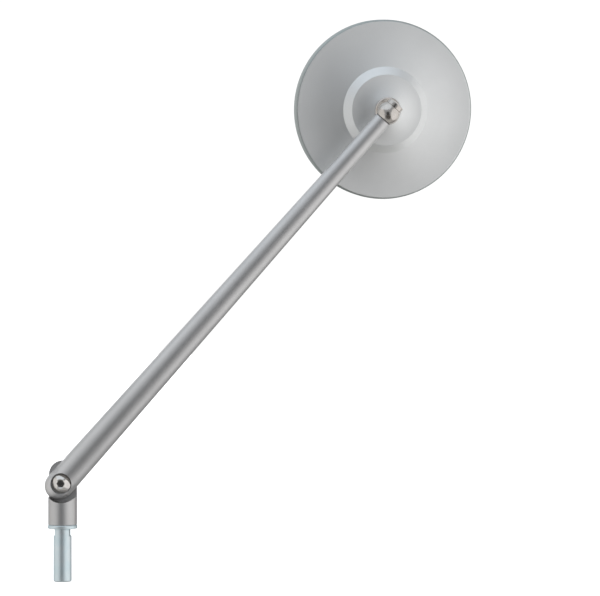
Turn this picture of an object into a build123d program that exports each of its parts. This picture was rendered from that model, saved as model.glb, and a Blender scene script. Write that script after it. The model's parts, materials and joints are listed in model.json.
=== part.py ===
from build123d import *

import math
import os

# A round rear-view mirror on a long tapered stem, as fitted to a scooter or motorcycle handlebar.
# +Z runs up the mounting stud. The origin is on its axis, where the full 10 mm round of its shank ends.
# The stem leans towards +X in the XZ plane. The head's back faces -Y and its glass faces +Y.

# Mounting stud
SHANK_RADIUS = 5.0
SHANK_LENGTH = 24.6
SHANK_TIP_CHAMFER = 0.6
ACROSS_SPANNER_FLATS = 8.0
FLATS_TOP = 4.2
FLANGE_RADIUS = 8.2
FLANGE_THICKNESS = 2.0
FLANGE_ROUND = 0.5
SPIGOT_RADIUS = 4.0
SPIGOT_LENGTH = 9.0

# Foot, with the rear half of the lap joint
FOOT_RADIUS = 8.0
FOOT_BOTTOM = FLATS_TOP + FLANGE_THICKNESS
HINGE_ABOVE_FOOT = 23.3
HINGE_HEIGHT = FOOT_BOTTOM + HINGE_ABOVE_FOOT
SCOOP_RADIUS = 10.8
TANG_DOME_RISE = 4.5
EDGE_CHAMFER = 0.35

# Hinge stack, measured forwards from the stud's axis; the screw goes in from the front
LAP_SETBACK = 1.2
LAP_GAP = 0.5
SCREW_RADIUS = 3.0
SCREW_HEAD_RADIUS = 5.25
SCREW_HEAD_HEIGHT = 3.3
SCREW_HEAD_EDGE = 0.5
BUTTON_BULGE = (0.72, 0.62)
HEX_ACROSS_FLATS = 4.0
HEX_DEPTH = 2.0
SOCKET_MOUTH_RADIUS = 2.6
SOCKET_MOUTH_DEPTH = 0.4
COUNTERBORE_RADIUS = 5.8
COUNTERBORE_FLOOR = 4.6
DISC_SPRING_HEIGHT = 0.7
DISC_SPRING_THICKNESS = 0.4
BUSH_RADIUS = 4.0
RUNNING_CLEARANCE = 0.05
FACE_CLEARANCE = 0.03
INSERT_RADIUS = 4.0
INSERT_DEPTH = 6.6
SCREW_REACH = 6.3
FRICTION_WASHER_RADIUS = 7.0

# Stem; its axis passes EYE_OFFSET above the hinge's
STEM_ANGLE = 48.4
STEM_LENGTH = 273.0
EYE_OFFSET = 0.5
STEM_FOOT_RADIUS = 8.0
STEM_TOP_RADIUS = 4.75
STEM_END_DOME_DROP = 2.5
TANG_CLEARANCE_RADIUS = 12.9

# Ball housing on the stem's end: a sphere with flats, its centre STEM_LENGTH from the hinge
HOUSING_RADIUS = 6.35
BALL_ABOVE_HOUSING = 2.0

# Heights along the stem's axis from the ball's centre
HOUSING_TOP = 2.5
THREAD_COLLAR_TOP = 4.2
BORE_BOTTOM = -4.25
HOUSING_BOTTOM = -6.2
STEM_TOP = -6.45
HOUSING_SHANK_BOTTOM = -18.0
STEM_INSERT_TOP = -6.55
STEM_INSERT_BOTTOM = -19.5
CAP_SHOULDER = 4.9
CAP_CROWN = 5.6
CAP_CEILING = 4.35
LOWER_SEAT_TOP = -0.9
UPPER_SEAT_BOTTOM = 1.0
UPPER_SEAT_TOP = 3.85

# Radii in the ball joint
BALL_RADIUS = 3.5
BALL_NECK_RADIUS = 1.7
BALL_BORE_RADIUS = 3.55
SEAT_RADIUS = 3.5
SEAT_HOLLOW_RADIUS = 3.53
THREAD_COLLAR_RADIUS = 4.1
CAP_RADIUS = 4.7
CAP_EDGE_ROUND = 0.4
CAP_SPRING_HOLE_RADIUS = 1.2
CAP_SPRING_RADIUS = 3.4
CAP_SPRING_THICKNESS = 0.25
SPANNER_HOLE_RADIUS = 0.55
SPANNER_HOLE_DEPTH = 0.9
SPANNER_HOLE_PITCH = 5.2
HOUSING_SHANK_RADIUS = 2.5
STEM_INSERT_RADIUS = 3.5
STEM_WASHER_RADIUS = 4.65
NECK_SLOT_RADIUS = 1.9
NECK_SLOT_REACH = 12.0

# How the head stands on its ball: turned about the stem's axis, then leaned along it
HEAD_ROLL = 13.5
HEAD_TILT = -4.3
TILT_LOWEST = -12.0
TILT_HIGHEST = 7.0
TILT_MARGIN = 0.5

# Head, as depths behind the ball's centre along its own axis
COLLAR_RADIUS = 7.1
COLLAR_FRONT = 7.0
STUD_THREAD_RADIUS = 2.5
BOSS_TOP_DEPTH = 8.0
BOSS_TOP_RADIUS = 7.6
BOSS_EDGE_RADIUS = 19.7
BOSS_EDGE_DEPTH = 10.8
BEVEL_FOOT_RADIUS = 24.0
BEVEL_FOOT_DEPTH = 14.4
RIM_RADIUS = 50.0
RIM_BACK_ROUND = 1.2
RIM_BACK_DEPTH = 17.8
RIM_FRONT_DEPTH = 25.3
RIM_FRONT_CHAMFER = 0.5
BOSS_SAG = 0.5
DISH_SAG = 0.66
SEAL_OUTER_RADIUS = 46.8
GLASS_RADIUS = 46.0
GLASS_THICKNESS = 2.0
GLASS_CURVATURE = 1200.0
GLASS_EDGE_DEPTH = 24.7
GLASS_BEVEL = 0.4
SEAL_DROP = 0.2
PAD_GAP = 0.02
SEAT_LEDGE_DEPTH = 21.6
SEAT_LEDGE_RADIUS = 35.0
WALL = 2.8
CAVITY_STEP = 1.5
PAD_INNER_RADIUS = 36.0
PAD_OUTER_RADIUS = 45.0
BOSS_FLOOR_DEPTH = 11.4
STUD_THREAD_END = 17.2
LOCK_WASHER_RADIUS = 4.4
LOCK_WASHER_THICKNESS = 1.2
LOCK_WASHER_SPLIT = 0.6
SPLIT_LEAN = 30.0
NUT_ACROSS_FLATS = 8.0
NUT_HEIGHT = 3.2
NUT_CORNER_DROP = 0.5

HINGE = Vector(0, 0, HINGE_HEIGHT)
STEM_AXIS = Vector(math.cos(math.radians(STEM_ANGLE)), 0, math.sin(math.radians(STEM_ANGLE)))
SIDEWAYS = Vector(STEM_AXIS.Z, 0, -STEM_AXIS.X)
ROLL = math.radians(HEAD_ROLL)
TILT = math.radians(HEAD_TILT)
NECK_AXIS = Vector(0, 1, 0) * math.cos(ROLL) - SIDEWAYS * math.sin(ROLL)
HEAD_DEPTH_AXIS = NECK_AXIS * math.cos(TILT) + STEM_AXIS * math.sin(TILT)
HEAD_UP_AXIS = STEM_AXIS * math.cos(TILT) - NECK_AXIS * math.sin(TILT)
STEM_FOOT = HINGE - SIDEWAYS * EYE_OFFSET
BALL_CENTRE = STEM_FOOT + STEM_AXIS * (STEM_LENGTH + BALL_ABOVE_HOUSING)
STEM_FRAME = Plane(origin=STEM_FOOT, x_dir=SIDEWAYS, z_dir=STEM_AXIS)
HOUSING_FRAME = Plane(origin=BALL_CENTRE, x_dir=NECK_AXIS, z_dir=STEM_AXIS)
HEAD_FRAME = Plane(origin=BALL_CENTRE, x_dir=HEAD_UP_AXIS, z_dir=HEAD_DEPTH_AXIS)
SCREW_FRAME = Plane(origin=HINGE, x_dir=(1, 0, 0), z_dir=(0, -1, 0))
TANG_FACE = -LAP_SETBACK - LAP_GAP / 2
EYE_FACE = -LAP_SETBACK + LAP_GAP / 2


def turned(*edges):
    """A solid turned about Z from the edges of a closed outline in the XZ half plane."""
    return revolve(Plane.XZ * make_face(Curve() + list(edges)), Axis.Z)


def turned_outline(*corners):
    """A solid turned about Z from the (radius, height) corners of its outline."""
    return revolve(Plane.XZ * make_face(Polyline(*corners, close=True)), Axis.Z)


def ring(inner, outer, low, high):
    """A plain ring about Z."""
    return turned_outline((inner, low), (outer, low), (outer, high), (inner, high))


def rod(radius, low, high):
    """A plain round bar about Z."""
    return turned_outline((0, low), (radius, low), (radius, high), (0, high))


def hexagon(across_flats, low, high):
    """A hexagonal bar about Z."""
    corner_radius = across_flats / 2 / math.cos(math.radians(30))
    return extrude(Plane.XY.offset(low) * RegularPolygon(corner_radius, 6), high - low)


def disc_spring(inner, outer, thickness, height):
    """A conical spring washer about Z that rests on its outer edge at height 0."""
    rise = height - thickness
    return turned_outline((inner, rise), (outer, 0), (outer, thickness), (inner, height))


def pole(sphere_radius, radius):
    """How far along its axis a sphere's surface lies where its cross-section has this radius."""
    return math.sqrt(sphere_radius**2 - radius**2)


def stud():
    """Zinc-plated steel stud: smooth shank, two spanner flats, seating flange and spigot."""
    tip = -SHANK_LENGTH - SHANK_TIP_CHAMFER
    top = FOOT_BOTTOM + SPIGOT_LENGTH
    below = Polyline(
        (SPIGOT_RADIUS - EDGE_CHAMFER, top),
        (0, top),
        (0, tip),
        (SHANK_RADIUS - SHANK_TIP_CHAMFER, tip),
        (SHANK_RADIUS, -SHANK_LENGTH),
        (SHANK_RADIUS, FLATS_TOP),
        (FLANGE_RADIUS - FLANGE_ROUND, FLATS_TOP),
    )
    round_edge = RadiusArc(
        (FLANGE_RADIUS - FLANGE_ROUND, FLATS_TOP),
        (FLANGE_RADIUS, FLATS_TOP + FLANGE_ROUND),
        -FLANGE_ROUND,
    )
    above = Polyline(
        (FLANGE_RADIUS, FLATS_TOP + FLANGE_ROUND),
        (FLANGE_RADIUS, FOOT_BOTTOM - EDGE_CHAMFER),
        (FLANGE_RADIUS - EDGE_CHAMFER, FOOT_BOTTOM),
        (SPIGOT_RADIUS, FOOT_BOTTOM),
        (SPIGOT_RADIUS, top - EDGE_CHAMFER),
        (SPIGOT_RADIUS - EDGE_CHAMFER, top),
    )
    body = turned(below, round_edge, above)
    shoulder = turned_outline(
        (0, 0), (SHANK_RADIUS, 0), (SHANK_RADIUS - EDGE_CHAMFER, EDGE_CHAMFER), (0, EDGE_CHAMFER)
    )
    beside = ACROSS_SPANNER_FLATS / 2 + SHANK_RADIUS / 2
    for x in (-beside, beside):
        milled = Pos(x, 0, FLATS_TOP / 2) * Box(SHANK_RADIUS, 3 * SHANK_RADIUS, FLATS_TOP)
        body -= milled - shoulder
    return body


def foot():
    """Turned aluminium knuckle with a domed top, milled down to the rear half of the lap joint."""
    dome_centre = HINGE_HEIGHT + TANG_DOME_RISE
    side = Polyline(
        (0, dome_centre + FOOT_RADIUS),
        (0, FOOT_BOTTOM),
        (FOOT_RADIUS - EDGE_CHAMFER, FOOT_BOTTOM),
        (FOOT_RADIUS, FOOT_BOTTOM + EDGE_CHAMFER),
        (FOOT_RADIUS, dome_centre),
    )
    dome = RadiusArc((FOOT_RADIUS, dome_centre), (0, dome_centre + FOOT_RADIUS), -FOOT_RADIUS)
    body = turned(side, dome)
    front = Pos(0, -TANG_FACE - FOOT_RADIUS, dome_centre) * Box(
        3 * FOOT_RADIUS, 2 * FOOT_RADIUS, 2 * (TANG_DOME_RISE + FOOT_RADIUS)
    )
    scoop = SCREW_FRAME * rod(SCOOP_RADIUS, TANG_FACE, 2 * FOOT_RADIUS)
    spigot_hole = rod(SPIGOT_RADIUS, FOOT_BOTTOM, FOOT_BOTTOM + SPIGOT_LENGTH + EDGE_CHAMFER)
    insert_hole = SCREW_FRAME * rod(INSERT_RADIUS, -INSERT_DEPTH, TANG_FACE)
    return body - front - scoop - spigot_hole - insert_hole


def hinge_insert():
    """Steel threaded insert in the foot's tang."""
    return SCREW_FRAME * ring(SCREW_RADIUS, INSERT_RADIUS, -INSERT_DEPTH, TANG_FACE)


def friction_washer():
    """Thin plastic washer between the two flat faces of the lap joint."""
    return SCREW_FRAME * ring(
        SCREW_RADIUS, FRICTION_WASHER_RADIUS, TANG_FACE, EYE_FACE - FACE_CLEARANCE
    )


def hinge_screw():
    """Stainless button-head screw that the stem swings on."""
    seat = COUNTERBORE_FLOOR + DISC_SPRING_HEIGHT
    crown = seat + SCREW_HEAD_HEIGHT
    rim = seat + SCREW_HEAD_EDGE
    shank = Polyline(
        (0, crown),
        (0, -SCREW_REACH),
        (SCREW_RADIUS - EDGE_CHAMFER, -SCREW_REACH),
        (SCREW_RADIUS, EDGE_CHAMFER - SCREW_REACH),
        (SCREW_RADIUS, seat),
        (SCREW_HEAD_RADIUS, seat),
        (SCREW_HEAD_RADIUS, rim),
    )
    button = ThreePointArc(
        (SCREW_HEAD_RADIUS, rim),
        (BUTTON_BULGE[0] * SCREW_HEAD_RADIUS, rim + BUTTON_BULGE[1] * (crown - rim)),
        (SOCKET_MOUTH_RADIUS, crown),
    )
    flat = Line((SOCKET_MOUTH_RADIUS, crown), (0, crown))
    socket = hexagon(HEX_ACROSS_FLATS, crown - HEX_DEPTH, crown + HEX_DEPTH)
    mouth = turned_outline(
        (0, crown - SOCKET_MOUTH_DEPTH),
        (HEX_ACROSS_FLATS / 2, crown - SOCKET_MOUTH_DEPTH),
        (SOCKET_MOUTH_RADIUS, crown),
        (0, crown),
    )
    return SCREW_FRAME * (turned(shank, button, flat) - socket - mouth)


def hinge_disc_spring():
    """Conical spring washer under the hinge screw's head."""
    spring = disc_spring(
        SCREW_RADIUS + RUNNING_CLEARANCE, SCREW_HEAD_RADIUS, DISC_SPRING_THICKNESS, DISC_SPRING_HEIGHT
    )
    return SCREW_FRAME * Pos(0, 0, COUNTERBORE_FLOOR) * spring


def hinge_bush():
    """Plain bush in the stem that turns on the hinge screw."""
    return SCREW_FRAME * ring(
        SCREW_RADIUS + RUNNING_CLEARANCE, BUSH_RADIUS, EYE_FACE, COUNTERBORE_FLOOR - FACE_CLEARANCE
    )


def stem():
    """Long tapered aluminium stem: half-lap eye below, pocket for the housing's insert at the top."""
    top = STEM_LENGTH + BALL_ABOVE_HOUSING + STEM_TOP
    side = Line((STEM_FOOT_RADIUS, -STEM_END_DOME_DROP), (STEM_TOP_RADIUS, top - EDGE_CHAMFER))
    end = Polyline(
        (STEM_TOP_RADIUS, top - EDGE_CHAMFER),
        (STEM_TOP_RADIUS - EDGE_CHAMFER, top),
        (0, top),
        (0, -STEM_END_DOME_DROP - STEM_FOOT_RADIUS),
    )
    dome = RadiusArc(
        (0, -STEM_END_DOME_DROP - STEM_FOOT_RADIUS),
        (STEM_FOOT_RADIUS, -STEM_END_DOME_DROP),
        -STEM_FOOT_RADIUS,
    )
    body = STEM_FRAME * turned(side, end, dome)
    tang_room = SCREW_FRAME * rod(TANG_CLEARANCE_RADIUS, -2 * STEM_FOOT_RADIUS, EYE_FACE)
    bush_hole = SCREW_FRAME * rod(BUSH_RADIUS, EYE_FACE, COUNTERBORE_FLOOR)
    counterbore = SCREW_FRAME * rod(COUNTERBORE_RADIUS, COUNTERBORE_FLOOR, 2 * STEM_FOOT_RADIUS)
    insert_pocket = HOUSING_FRAME * rod(STEM_INSERT_RADIUS, STEM_INSERT_BOTTOM, 0)
    return body - tang_room - bush_hole - counterbore - insert_pocket


def stem_insert():
    """Steel threaded insert in the stem's top end, for the ball housing's shank."""
    return HOUSING_FRAME * ring(
        HOUSING_SHANK_RADIUS, STEM_INSERT_RADIUS, STEM_INSERT_BOTTOM, STEM_INSERT_TOP
    )


def stem_washer():
    """Thin black friction washer that the ball housing turns on."""
    return HOUSING_FRAME * ring(
        HOUSING_SHANK_RADIUS, STEM_WASHER_RADIUS, STEM_TOP, HOUSING_BOTTOM - FACE_CLEARANCE
    )


def neck_slot():
    """The room that the ball stud's neck sweeps between its tilt limits, about the ball's centre."""
    low = math.radians(TILT_LOWEST - TILT_MARGIN)
    high = math.radians(TILT_HIGHEST + TILT_MARGIN)
    reach = NECK_SLOT_REACH
    lower_end = (reach * math.cos(low), reach * math.sin(low))
    upper_end = (reach * math.cos(high), reach * math.sin(high))
    fan = Plane.XZ * make_face(Polyline((0, 0), lower_end, upper_end, close=True))
    slot = extrude(fan, NECK_SLOT_RADIUS, both=True)
    for end in (lower_end, upper_end):
        along = Plane(origin=(0, 0, 0), x_dir=(0, 1, 0), z_dir=(end[0], 0, end[1]))
        slot += along * rod(NECK_SLOT_RADIUS, 0, reach)
    return slot


def ball_housing():
    """Polished sphere with a bore for the ball, a slot for its neck, and a shank for the stem."""
    sphere_centre = -BALL_ABOVE_HOUSING
    body = Pos(0, 0, sphere_centre) * Sphere(HOUSING_RADIUS)
    body -= rod(2 * HOUSING_RADIUS, HOUSING_TOP, 2 * HOUSING_RADIUS)
    body -= rod(2 * HOUSING_RADIUS, sphere_centre - 2 * HOUSING_RADIUS, HOUSING_BOTTOM)
    body += rod(THREAD_COLLAR_RADIUS, BORE_BOTTOM, THREAD_COLLAR_TOP)
    body += turned_outline(
        (0, HOUSING_SHANK_BOTTOM),
        (HOUSING_SHANK_RADIUS - EDGE_CHAMFER, HOUSING_SHANK_BOTTOM),
        (HOUSING_SHANK_RADIUS, HOUSING_SHANK_BOTTOM + EDGE_CHAMFER),
        (HOUSING_SHANK_RADIUS, HOUSING_BOTTOM),
        (0, HOUSING_BOTTOM),
    )
    bore = rod(BALL_BORE_RADIUS, BORE_BOTTOM, THREAD_COLLAR_TOP)
    entry = Pos(NECK_SLOT_REACH / 2, 0, THREAD_COLLAR_TOP / 2) * Box(
        NECK_SLOT_REACH, 2 * NECK_SLOT_RADIUS, THREAD_COLLAR_TOP
    )
    return HOUSING_FRAME * (body - bore - entry - neck_slot())


def seat_half(flat, edge):
    """A liner between a flat end and an open edge, hollowed for the ball, with room for the neck."""
    block = rod(SEAT_RADIUS, min(flat, edge), max(flat, edge))
    return block - Sphere(SEAT_HOLLOW_RADIUS) - neck_slot()


def ball_seat():
    """Low-friction liner under the ball."""
    return HOUSING_FRAME * seat_half(BORE_BOTTOM, LOWER_SEAT_TOP)


def ball_pressure_seat():
    """Low-friction liner that the cap's spring presses down on the ball."""
    return HOUSING_FRAME * seat_half(UPPER_SEAT_TOP, UPPER_SEAT_BOTTOM)


def cap_disc_spring():
    """Conical spring washer between the upper liner and the cap."""
    spring = disc_spring(
        CAP_SPRING_HOLE_RADIUS, CAP_SPRING_RADIUS, CAP_SPRING_THICKNESS, CAP_CEILING - UPPER_SEAT_TOP
    )
    return HOUSING_FRAME * Pos(0, 0, UPPER_SEAT_TOP) * spring


def housing_cap():
    """Polished screw cap with a low dome; two holes take the spanner that sets the ball's grip."""
    low = HOUSING_TOP + FACE_CLEARANCE
    wall = Polyline(
        (0, CAP_CROWN),
        (0, CAP_CEILING),
        (THREAD_COLLAR_RADIUS, CAP_CEILING),
        (THREAD_COLLAR_RADIUS, low),
        (CAP_RADIUS, low),
        (CAP_RADIUS, CAP_SHOULDER - CAP_EDGE_ROUND),
    )
    span = CAP_RADIUS - CAP_EDGE_ROUND
    edge = RadiusArc(
        (CAP_RADIUS, CAP_SHOULDER - CAP_EDGE_ROUND), (span, CAP_SHOULDER), -CAP_EDGE_ROUND
    )
    rise = CAP_CROWN - CAP_SHOULDER
    dome = RadiusArc((span, CAP_SHOULDER), (0, CAP_CROWN), -(span**2 + rise**2) / (2 * rise))
    cap = turned(wall, edge, dome)
    for side in (-1, 1):
        hole = rod(SPANNER_HOLE_RADIUS, CAP_CROWN - SPANNER_HOLE_DEPTH, CAP_CROWN + SPANNER_HOLE_DEPTH)
        cap -= Pos(0, side * SPANNER_HOLE_PITCH / 2, 0) * hole
    return HOUSING_FRAME * cap


def ball_stud():
    """Polished ball on a short neck, with a collar and a thread that goes into the head's boss."""
    shaft = turned_outline(
        (0, 0),
        (BALL_NECK_RADIUS, 0),
        (BALL_NECK_RADIUS, COLLAR_FRONT),
        (COLLAR_RADIUS - EDGE_CHAMFER, COLLAR_FRONT),
        (COLLAR_RADIUS, COLLAR_FRONT + EDGE_CHAMFER),
        (COLLAR_RADIUS, BOSS_TOP_DEPTH),
        (STUD_THREAD_RADIUS, BOSS_TOP_DEPTH),
        (STUD_THREAD_RADIUS, STUD_THREAD_END - EDGE_CHAMFER),
        (STUD_THREAD_RADIUS - EDGE_CHAMFER, STUD_THREAD_END),
        (0, STUD_THREAD_END),
    )
    return HEAD_FRAME * (Sphere(BALL_RADIUS) + shaft)


def boss_lock_washer():
    """Spring lock washer under the ball stud's nut: one coil with a slanting split."""
    low = BOSS_FLOOR_DEPTH
    washer = ring(
        STUD_THREAD_RADIUS + RUNNING_CLEARANCE, LOCK_WASHER_RADIUS, low, low + LOCK_WASHER_THICKNESS
    )
    split = Box(LOCK_WASHER_RADIUS, LOCK_WASHER_SPLIT, 5 * LOCK_WASHER_THICKNESS)
    return HEAD_FRAME * (washer - Pos(LOCK_WASHER_RADIUS, 0, low) * Rot(SPLIT_LEAN, 0, 0) * split)


def ball_stud_nut():
    """Hexagon nut that holds the ball stud in the head."""
    low = BOSS_FLOOR_DEPTH + LOCK_WASHER_THICKNESS
    high = low + NUT_HEIGHT
    flat = NUT_ACROSS_FLATS / 2
    corner = 2 * NUT_ACROSS_FLATS / 3
    rounding = turned_outline(
        (0, low),
        (flat, low),
        (corner, low + NUT_CORNER_DROP),
        (corner, high - NUT_CORNER_DROP),
        (flat, high),
        (0, high),
    )
    nut = hexagon(NUT_ACROSS_FLATS, low, high) & rounding
    return HEAD_FRAME * (nut - rod(STUD_THREAD_RADIUS, low, high))


def sagged(start, end, sag):
    """An arc between two (radius, depth) points that bows towards greater depth by sag."""
    middle = ((start[0] + end[0]) / 2, (start[1] + end[1]) / 2 + sag)
    return ThreePointArc(start, middle, end)


def head_shell():
    """Turned aluminium dish: trumpet-shaped back with a bevelled boss, rim and glass recess."""
    boss_top = (BOSS_TOP_RADIUS, BOSS_TOP_DEPTH)
    boss_edge = (BOSS_EDGE_RADIUS, BOSS_EDGE_DEPTH)
    bevel_foot = (BEVEL_FOOT_RADIUS, BEVEL_FOOT_DEPTH)
    dish_edge = (RIM_RADIUS - RIM_BACK_ROUND, RIM_BACK_DEPTH)
    rim_back = (RIM_RADIUS, RIM_BACK_DEPTH + RIM_BACK_ROUND)
    inside = Polyline(
        rim_back,
        (RIM_RADIUS, RIM_FRONT_DEPTH - RIM_FRONT_CHAMFER),
        (RIM_RADIUS - RIM_FRONT_CHAMFER, RIM_FRONT_DEPTH),
        (SEAL_OUTER_RADIUS, RIM_FRONT_DEPTH),
        (SEAL_OUTER_RADIUS, SEAT_LEDGE_DEPTH),
        (SEAT_LEDGE_RADIUS, SEAT_LEDGE_DEPTH),
        (SEAT_LEDGE_RADIUS - CAVITY_STEP, BEVEL_FOOT_DEPTH + WALL + CAVITY_STEP),
        (BEVEL_FOOT_RADIUS + CAVITY_STEP, BEVEL_FOOT_DEPTH + WALL),
        (BOSS_EDGE_RADIUS - CAVITY_STEP, BOSS_EDGE_DEPTH + WALL),
        (LOCK_WASHER_RADIUS + CAVITY_STEP, BOSS_FLOOR_DEPTH),
        (STUD_THREAD_RADIUS, BOSS_FLOOR_DEPTH),
        (STUD_THREAD_RADIUS, BOSS_TOP_DEPTH),
        boss_top,
    )
    boss = sagged(boss_top, boss_edge, BOSS_SAG)
    bevel = Line(boss_edge, bevel_foot)
    dish = sagged(bevel_foot, dish_edge, DISH_SAG)
    back_round = RadiusArc(dish_edge, rim_back, -RIM_BACK_ROUND)
    return HEAD_FRAME * turned(inside, boss, bevel, dish, back_round)


def bulge(radius):
    """How much the convex glass's front stands deeper than at its edge, at this radius."""
    centre = GLASS_CURVATURE - pole(GLASS_CURVATURE, GLASS_RADIUS)
    return centre - (GLASS_CURVATURE - pole(GLASS_CURVATURE, radius))


def glass():
    """Convex silvered glass, cut from a blank between two equal spheres that lie its thickness apart."""
    back = GLASS_EDGE_DEPTH - GLASS_THICKNESS
    rise = 2 * bulge(0)
    blank = turned_outline(
        (0, back),
        (GLASS_RADIUS, back),
        (GLASS_RADIUS, GLASS_EDGE_DEPTH - GLASS_BEVEL),
        (GLASS_RADIUS - GLASS_BEVEL - rise, GLASS_EDGE_DEPTH + rise),
        (0, GLASS_EDGE_DEPTH + rise),
    )
    centre = GLASS_EDGE_DEPTH - pole(GLASS_CURVATURE, GLASS_RADIUS)
    sphere = Rot(90, 0, 0) * Sphere(GLASS_CURVATURE)
    front = Pos(0, 0, centre) * sphere
    rear = Pos(0, 0, centre - GLASS_THICKNESS) * sphere
    return HEAD_FRAME * ((blank & front) - rear)


def glass_seal():
    """Black rubber ring in the gap between glass and rim."""
    return HEAD_FRAME * turned_outline(
        (GLASS_RADIUS, SEAT_LEDGE_DEPTH),
        (SEAL_OUTER_RADIUS, SEAT_LEDGE_DEPTH),
        (SEAL_OUTER_RADIUS, GLASS_EDGE_DEPTH - SEAL_DROP),
        (GLASS_RADIUS, GLASS_EDGE_DEPTH - GLASS_BEVEL),
    )


def glass_pad():
    """Foam adhesive ring that holds the glass on the shell's ledge."""
    back = GLASS_EDGE_DEPTH - GLASS_THICKNESS - PAD_GAP
    return HEAD_FRAME * turned_outline(
        (PAD_INNER_RADIUS, SEAT_LEDGE_DEPTH),
        (PAD_OUTER_RADIUS, SEAT_LEDGE_DEPTH),
        (PAD_OUTER_RADIUS, back + bulge(PAD_OUTER_RADIUS)),
        (PAD_INNER_RADIUS, back + bulge(PAD_INNER_RADIUS)),
    )


PARTS = (
    stud,
    foot,
    hinge_insert,
    hinge_screw,
    hinge_disc_spring,
    friction_washer,
    hinge_bush,
    stem,
    stem_insert,
    stem_washer,
    ball_housing,
    ball_seat,
    ball_pressure_seat,
    cap_disc_spring,
    housing_cap,
    ball_stud,
    boss_lock_washer,
    ball_stud_nut,
    head_shell,
    glass_pad,
    glass,
    glass_seal,
)

os.makedirs("parts", exist_ok=True)
for make in PARTS:
    export_step(make(), f"parts/{make.__name__}.step")
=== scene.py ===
import json
import math

import bpy
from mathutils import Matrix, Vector


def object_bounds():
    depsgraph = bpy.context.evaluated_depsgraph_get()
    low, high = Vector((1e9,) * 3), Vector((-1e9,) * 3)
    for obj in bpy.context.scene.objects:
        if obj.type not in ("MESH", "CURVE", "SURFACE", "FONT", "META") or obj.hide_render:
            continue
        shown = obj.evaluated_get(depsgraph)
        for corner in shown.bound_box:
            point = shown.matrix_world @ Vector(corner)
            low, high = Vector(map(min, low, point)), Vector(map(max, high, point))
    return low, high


# A round rear-view mirror in a plain studio. Everything is in metres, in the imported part's frame.
# The camera looks along +Y, at the back of the head.

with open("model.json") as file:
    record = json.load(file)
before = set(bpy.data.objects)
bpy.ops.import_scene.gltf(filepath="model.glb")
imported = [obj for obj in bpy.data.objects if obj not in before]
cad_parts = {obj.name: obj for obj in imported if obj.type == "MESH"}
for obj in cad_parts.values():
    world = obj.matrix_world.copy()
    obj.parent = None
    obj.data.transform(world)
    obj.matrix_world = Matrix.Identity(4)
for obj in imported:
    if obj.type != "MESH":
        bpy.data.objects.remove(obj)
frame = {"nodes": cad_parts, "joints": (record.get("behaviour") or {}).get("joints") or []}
cad_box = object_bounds()
nodes = frame["nodes"]
joints = {joint["name"]: joint for joint in frame["joints"]}

scene = bpy.context.scene
scene.view_settings.view_transform = "Standard"

# Each lathe axis that surfaces were turned on, as a point and a direction
HINGE = Vector(joints["stem_hinge"]["pos_m"])
HINGE_AXIS = Vector(joints["stem_hinge"]["axis"])
BALL = Vector(joints["ball_tilt"]["pos_m"])
STEM_AXIS = Vector(joints["housing_roll"]["axis"])
HEAD_LEAN = math.radians(-4.3)
NECK_AXIS = STEM_AXIS.cross(Vector(joints["ball_tilt"]["axis"]))
HEAD_AXIS = NECK_AXIS * math.cos(HEAD_LEAN) + STEM_AXIS * math.sin(HEAD_LEAN)
STUD_LATHE = (Vector((0, 0, 0)), Vector((0, 0, 1)))
HINGE_LATHE = (HINGE, HINGE_AXIS)
STEM_LATHE = (BALL, STEM_AXIS)
HEAD_LATHE = (BALL, HEAD_AXIS)

# Camera: level, a little to the right of square on, and far enough away for a flat perspective
VIEW_CENTRE = Vector((0.132, 0, 0.1321))
VIEW_DISTANCE = 1.5
VIEW_AZIMUTH = math.radians(3)
VIEW_WIDTH = 0.3316
VIEW_REACH = 10

# The floor, and the distances between which it grows brighter
FLOOR_HALF = 6.0
FLOOR_FADE = (0.05, 0.9)
FLOOR_GLOW = (0.75, 1.2)
FLOOR_TONE = 0.9
FLOOR_ROUGHNESS = 0.9

# The studio's wall, and patches laid over it one after another. A patch has an azimuth, an elevation,
# the angles from there at which it fades in and is full, and its tone. The glass mirrors a white panel.
WALL_TONE = (0.335, 0.345, 0.36)
GROUND = (0, -90, 46, 20, (0.44, 0.44, 0.43))
REAR_WALL = (180, 0, 85, 60, (0.26, 0.26, 0.26))
MIRRORED_PANEL = (-154, 11, 36, 6, (0.90, 0.91, 0.92))
UNDER_THE_CAMERA = (2, -40, 34, 20, (0.09, 0.085, 0.08))
ROUND_THE_CAMERA = (-5, -3, 20, 11, (0.03, 0.03, 0.03))
WALL_PATCHES = (GROUND, REAR_WALL, MIRRORED_PANEL, UNDER_THE_CAMERA, ROUND_THE_CAMERA)
BACKDROP_STRENGTH = 1.05

# How fine the clouds are, how much of each noise's middle range is used, and how high its bumps are
CLOUD_DETAIL = 3.0
CLOUD_SPREAD = (0.35, 0.65)
MARK_SPREAD = (0.3, 0.7)
BUMP_HEIGHT = 0.00004

# Radii between which the head's back turns into its edge, which is darkened with painted shade, and the
# glass's face into its own
HEAD_SHADED_EDGE_RADII = (0.0489, 0.0494)
HEAD_EDGE_SHADE_TONE = (0.50, 0.54, 0.53)
GLASS_EDGE = (0.0453, 0.0456)
GLASS_EDGE_TONE = (0.30, 0.38, 0.35)
GLASS_TONE = (0.91, 0.918, 0.922)
GLASS_ROUGHNESS = (0.004, 0.35)


def heading(azimuth, elevation):
    """The direction towards a place in the studio. Azimuth 0 is behind the camera, 90 to its right."""
    a, e = math.radians(azimuth), math.radians(elevation)
    return Vector((math.sin(a) * math.cos(e), -math.cos(a) * math.cos(e), math.sin(e)))


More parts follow.
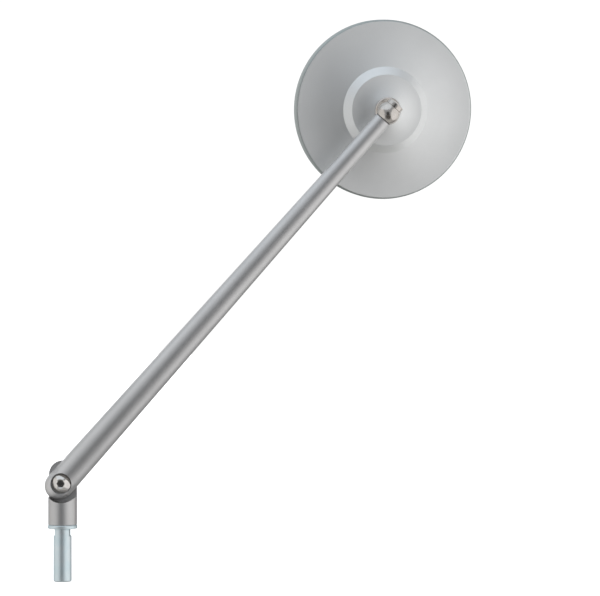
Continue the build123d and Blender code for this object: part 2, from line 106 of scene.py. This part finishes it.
def make_camera():
    """A level camera that frames the whole part."""
    data = bpy.data.cameras.new("camera")
    camera = bpy.data.objects.new("camera", data)
    scene.collection.objects.link(camera)
    back = Vector((math.sin(VIEW_AZIMUTH), -math.cos(VIEW_AZIMUTH), 0))
    camera.location = VIEW_CENTRE + back * VIEW_DISTANCE
    camera.rotation_mode = "QUATERNION"
    camera.rotation_quaternion = (-back).to_track_quat("-Z", "Y")
    data.lens = data.sensor_width * VIEW_DISTANCE / VIEW_WIDTH
    data.clip_end = VIEW_REACH
    scene.camera = camera


def softbox(name, azimuth, elevation, distance, size, radiance, colour):
    """An oval area light aimed at the middle of the object."""
    towards = heading(azimuth, elevation)
    data = bpy.data.lights.new(name, "AREA")
    data.shape = "ELLIPSE"
    data.size, data.size_y = size
    data.energy = radiance * math.pi ** 2 * size[0] * size[1] / 4
    data.color = colour
    light = bpy.data.objects.new(name, data)
    scene.collection.objects.link(light)
    light.location = VIEW_CENTRE + towards * distance
    light.rotation_mode = "QUATERNION"
    light.rotation_quaternion = (-towards).to_track_quat("-Z", "Y")


def add(tree, kind, inputs=None, **settings):
    """A new node with its settings, and its inputs set to values or linked to other outputs."""
    node = tree.nodes.new(kind)
    for name, value in settings.items():
        setattr(node, name, value)
    for name, value in (inputs or {}).items():
        if isinstance(value, bpy.types.NodeSocket):
            tree.links.new(value, node.inputs[name])
        else:
            node.inputs[name].default_value = value
    return node


def remap(tree, value, source, target):
    """The value carried from one range to another and held inside it."""
    ranges = {"From Min": source[0], "From Max": source[1], "To Min": target[0], "To Max": target[1]}
    return add(tree, "ShaderNodeMapRange", {"Value": value, **ranges}).outputs["Result"]


def blend(tree, factor, first, second):
    """A colour between two others, each given as three numbers or as another node's output."""
    mix = add(tree, "ShaderNodeMix", data_type="RGBA")
    inputs = {"Factor": factor, "A": first, "B": second}
    for name, value in inputs.items():
        socket = next(s for s in mix.inputs if s.name == name and s.enabled)
        if isinstance(value, bpy.types.NodeSocket):
            tree.links.new(value, socket)
        else:
            socket.default_value = (*value, 1)
    return next(s for s in mix.outputs if s.enabled)


def patch(tree, direction, azimuth, elevation, outer, inner):
    """1 towards one part of the studio, fading to 0 between two angles from it."""
    inputs = {0: direction, 1: heading(azimuth, elevation)}
    dot = add(tree, "ShaderNodeVectorMath", inputs, operation="DOT_PRODUCT").outputs["Value"]
    limits = (math.cos(math.radians(outer)), math.cos(math.radians(inner)))
    return remap(tree, dot, limits, (0, 1))


def make_world():
    """Grey studio walls with a dark camera side, and plain white for what the camera sees."""
    world = bpy.data.worlds.new("studio")
    world.use_nodes = True
    scene.world = world
    tree = world.node_tree
    tree.nodes.clear()
    direction = add(tree, "ShaderNodeTexCoord").outputs["Generated"]
    tone = WALL_TONE
    for *place, colour in WALL_PATCHES:
        tone = blend(tree, patch(tree, direction, *place), tone, colour)
    studio = add(tree, "ShaderNodeBackground", {"Color": tone})
    white = add(tree, "ShaderNodeBackground", {"Color": (1, 1, 1, 1), "Strength": BACKDROP_STRENGTH})
    path = add(tree, "ShaderNodeLightPath").outputs["Is Camera Ray"]
    mix = add(tree, "ShaderNodeMixShader", {0: path, 1: studio.outputs[0], 2: white.outputs[0]})
    add(tree, "ShaderNodeOutputWorld", {"Surface": mix.outputs[0]})


def new_material(name):
    """A material with its node tree and its shader."""
    material = bpy.data.materials.new(name)
    material.use_nodes = True
    return material, material.node_tree, material.node_tree.nodes["Principled BSDF"]


def make_floor():
    """A wide white floor that fades into the white beyond it."""
    data = bpy.data.meshes.new("floor")
    low = cad_box[0].z
    signs = ((-1, -1), (1, -1), (1, 1), (-1, 1))
    corners = [(x * FLOOR_HALF, y * FLOOR_HALF, low) for x, y in signs]
    data.from_pydata(corners, [], [(0, 1, 2, 3)])
    floor = bpy.data.objects.new("floor", data)
    scene.collection.objects.link(floor)
    material, tree, shader = new_material("floor_white")
    place = add(tree, "ShaderNodeTexCoord").outputs["Object"]
    distance = add(tree, "ShaderNodeVectorMath", {0: place}, operation="LENGTH").outputs["Value"]
    glow = remap(tree, distance, FLOOR_FADE, FLOOR_GLOW)
    tree.links.new(glow, shader.inputs["Emission Strength"])
    shader.inputs["Base Color"].default_value = (FLOOR_TONE, FLOOR_TONE, FLOOR_TONE, 1)
    shader.inputs["Roughness"].default_value = FLOOR_ROUGHNESS
    shader.inputs["Emission Color"].default_value = (1, 1, 1, 1)
    data.materials.append(material)
    floor.visible_glossy = False
    floor.visible_diffuse = False


def lathe_place(tree, node, lathe):
    """Place on a part measured from its lathe axis: the spot itself, its radius and its height."""
    to_local = node.matrix_world.inverted()
    origin = to_local @ lathe[0]
    axis = to_local.to_3x3() @ lathe[1]
    turn = axis.to_track_quat("Z", "Y").to_euler()
    inputs = {
        "Vector": add(tree, "ShaderNodeTexCoord").outputs["Object"],
        "Location": origin,
        "Rotation": turn,
    }
    spot = add(tree, "ShaderNodeMapping", inputs, vector_type="TEXTURE").outputs["Vector"]
    parts = add(tree, "ShaderNodeSeparateXYZ", {"Vector": spot})
    flat = add(tree, "ShaderNodeCombineXYZ", {"X": parts.outputs["X"], "Y": parts.outputs["Y"]})
    radius = add(tree, "ShaderNodeVectorMath", {0: flat.outputs["Vector"]}, operation="LENGTH")
    return spot, radius.outputs["Value"], parts.outputs["Z"]


def noise(tree, place, scale, detail=2.0):
    """Cloudy values between 0 and 1."""
    inputs = {"Vector": place, "Scale": scale, "Detail": detail}
    return add(tree, "ShaderNodeTexNoise", inputs).outputs["Fac"]


def bump(tree, height, strength, under=None):
    """Fine relief, laid over another relief when one is given."""
    inputs = {"Height": height, "Strength": strength, "Distance": BUMP_HEIGHT, **(under or {})}
    return add(tree, "ShaderNodeBump", inputs).outputs["Normal"]


def wear(part, material):
    """Put one material on a part in place of what it came with."""
    nodes[part].data.materials.clear()
    nodes[part].data.materials.append(material)


def dress(part, lathe, look):
    """A worked surface: cloudy colour and roughness, tool marks round the lathe axis, and grain."""
    material, tree, shader = new_material(part + "_look")
    spot, radius, height = lathe_place(tree, nodes[part], lathe)
    cloud = noise(tree, spot, look["cloud"], CLOUD_DETAIL)
    tint = remap(tree, cloud, CLOUD_SPREAD, (0, 1))
    tree.links.new(blend(tree, tint, look["dark"], look["light"]), shader.inputs["Base Color"])
    grooves = add(tree, "ShaderNodeCombineXYZ", {"X": radius, "Z": height}).outputs["Vector"]
    marks = noise(tree, grooves, look["marks"])
    tree.links.new(remap(tree, marks, MARK_SPREAD, look["roughness"]), shader.inputs["Roughness"])
    turned = bump(tree, marks, look["mark_strength"])
    grain = noise(tree, spot, look["grain"])
    grainy = bump(tree, grain, look["grain_strength"], {"Normal": turned})
    tree.links.new(grainy, shader.inputs["Normal"])
    shader.inputs["Metallic"].default_value = look["metallic"]
    wear(part, material)
    return tree, shader, radius


def dress_head_shell():
    """The blasted look, with painted shade: the outermost edge is greyer to dull the light its rounding
    catches.
    """
    tree, shader, radius = dress("head_shell", HEAD_LATHE, BLASTED)
    # Painted shade: the colour greys towards the outermost edge of the rim
    edge = remap(tree, radius, HEAD_SHADED_EDGE_RADII, (0, 1))
    base = shader.inputs["Base Color"]
    tree.links.new(blend(tree, edge, base.links[0].from_socket, HEAD_EDGE_SHADE_TONE), base)


def dress_glass():
    """Silvered glass with a green-grey ground edge."""
    material, tree, shader = new_material("glass_look")
    radius = lathe_place(tree, nodes["glass"], HEAD_LATHE)[1]
    edge = remap(tree, radius, GLASS_EDGE, (0, 1))
    tree.links.new(blend(tree, edge, GLASS_TONE, GLASS_EDGE_TONE), shader.inputs["Base Color"])
    tree.links.new(remap(tree, edge, (0, 1), GLASS_ROUGHNESS), shader.inputs["Roughness"])
    shader.inputs["Metallic"].default_value = 1
    wear("glass", material)


def look(dark, light, metallic, roughness, cloud, marks, mark_strength, grain, grain_strength):
    """Two tones, how metallic, the roughness range, and the scales and strengths of its details."""
    return {
        "dark": dark,
        "light": light,
        "metallic": metallic,
        "roughness": roughness,
        "cloud": cloud,
        "marks": marks,
        "mark_strength": mark_strength,
        "grain": grain,
        "grain_strength": grain_strength,
    }


make_camera()
make_world()
make_floor()

# Azimuth, elevation, distance, size, radiance and colour of each light
softbox("box_right", 76, -7, 0.9, (2.05, 2.0), 0.58, (1.0, 0.98, 0.96))
softbox("box_left", -76, -6, 0.9, (1.5, 1.8), 0.41, (1.0, 0.97, 0.93))
softbox("box_top", -66, 75, 1.0, (2.2, 1.6), 0.54, (0.80, 0.90, 1.0))

ANODISED = look((0.735, 0.73, 0.725), (0.77, 0.765, 0.76), 1, (0.45, 0.50), 60, 1500, 0.01, 5000, 0.012)
# Painted shade: the foot wears the stem's anodising in darker tones, a shaded copy of the same finish
SHADED_FOOT_ANODISED = look((0.645, 0.64, 0.635), (0.68, 0.675, 0.67), 1, (0.45, 0.50), 60, 1500, 0.01, 5000, 0.012)
BLASTED = look((0.91, 0.92, 0.915), (0.94, 0.95, 0.945), 1, (0.50, 0.54), 45, 900, 0.012, 3600, 0.03)
ZINC = look((0.79, 0.93, 0.97), (0.86, 0.96, 0.99), 0.8, (0.40, 0.47), 180, 1800, 0.03, 6000, 0.03)
SCREW = look((0.74, 0.71, 0.68), (0.82, 0.79, 0.75), 1, (0.17, 0.23), 300, 4000, 0.04, 6000, 0.02)
POLISHED = look((0.66, 0.62, 0.58), (0.76, 0.715, 0.67), 1, (0.20, 0.25), 250, 3500, 0.03, 7000, 0.02)
SPRING = look((0.14, 0.14, 0.15), (0.30, 0.29, 0.28), 1, (0.34, 0.50), 400, 3000, 0.10, 5000, 0.20)
PLASTIC = look((0.065, 0.065, 0.066), (0.095, 0.094, 0.092), 0, (0.42, 0.60), 300, 2500, 0.10, 5000, 0.20)
FOAM = look((0.015, 0.015, 0.016), (0.035, 0.034, 0.034), 0, (0.85, 0.98), 250, 1200, 0.10, 2200, 1.0)
RUBBER = look((0.016, 0.016, 0.017), (0.032, 0.031, 0.031), 0, (0.50, 0.68), 150, 2000, 0.10, 3500, 0.30)

DRESSED = {
    "stud": (STUD_LATHE, ZINC),
    "foot": (STUD_LATHE, SHADED_FOOT_ANODISED),
    "hinge_insert": (HINGE_LATHE, ZINC),
    "hinge_screw": (HINGE_LATHE, SCREW),
    "hinge_disc_spring": (HINGE_LATHE, SPRING),
    "friction_washer": (HINGE_LATHE, PLASTIC),
    "hinge_bush": (HINGE_LATHE, PLASTIC),
    "stem": (STEM_LATHE, ANODISED),
    "stem_insert": (STEM_LATHE, ZINC),
    "stem_washer": (STEM_LATHE, PLASTIC),
    "ball_housing": (STEM_LATHE, POLISHED),
    "ball_seat": (STEM_LATHE, PLASTIC),
    "ball_pressure_seat": (STEM_LATHE, PLASTIC),
    "cap_disc_spring": (STEM_LATHE, SPRING),
    "housing_cap": (STEM_LATHE, POLISHED),
    "ball_stud": (HEAD_LATHE, POLISHED),
    "boss_lock_washer": (HEAD_LATHE, SPRING),
    "ball_stud_nut": (HEAD_LATHE, ZINC),
    "glass_pad": (HEAD_LATHE, FOAM),
    "glass_seal": (HEAD_LATHE, RUBBER),
}
for part, (lathe, finish) in DRESSED.items():
    dress(part, lathe, finish)
dress_head_shell()
dress_glass()
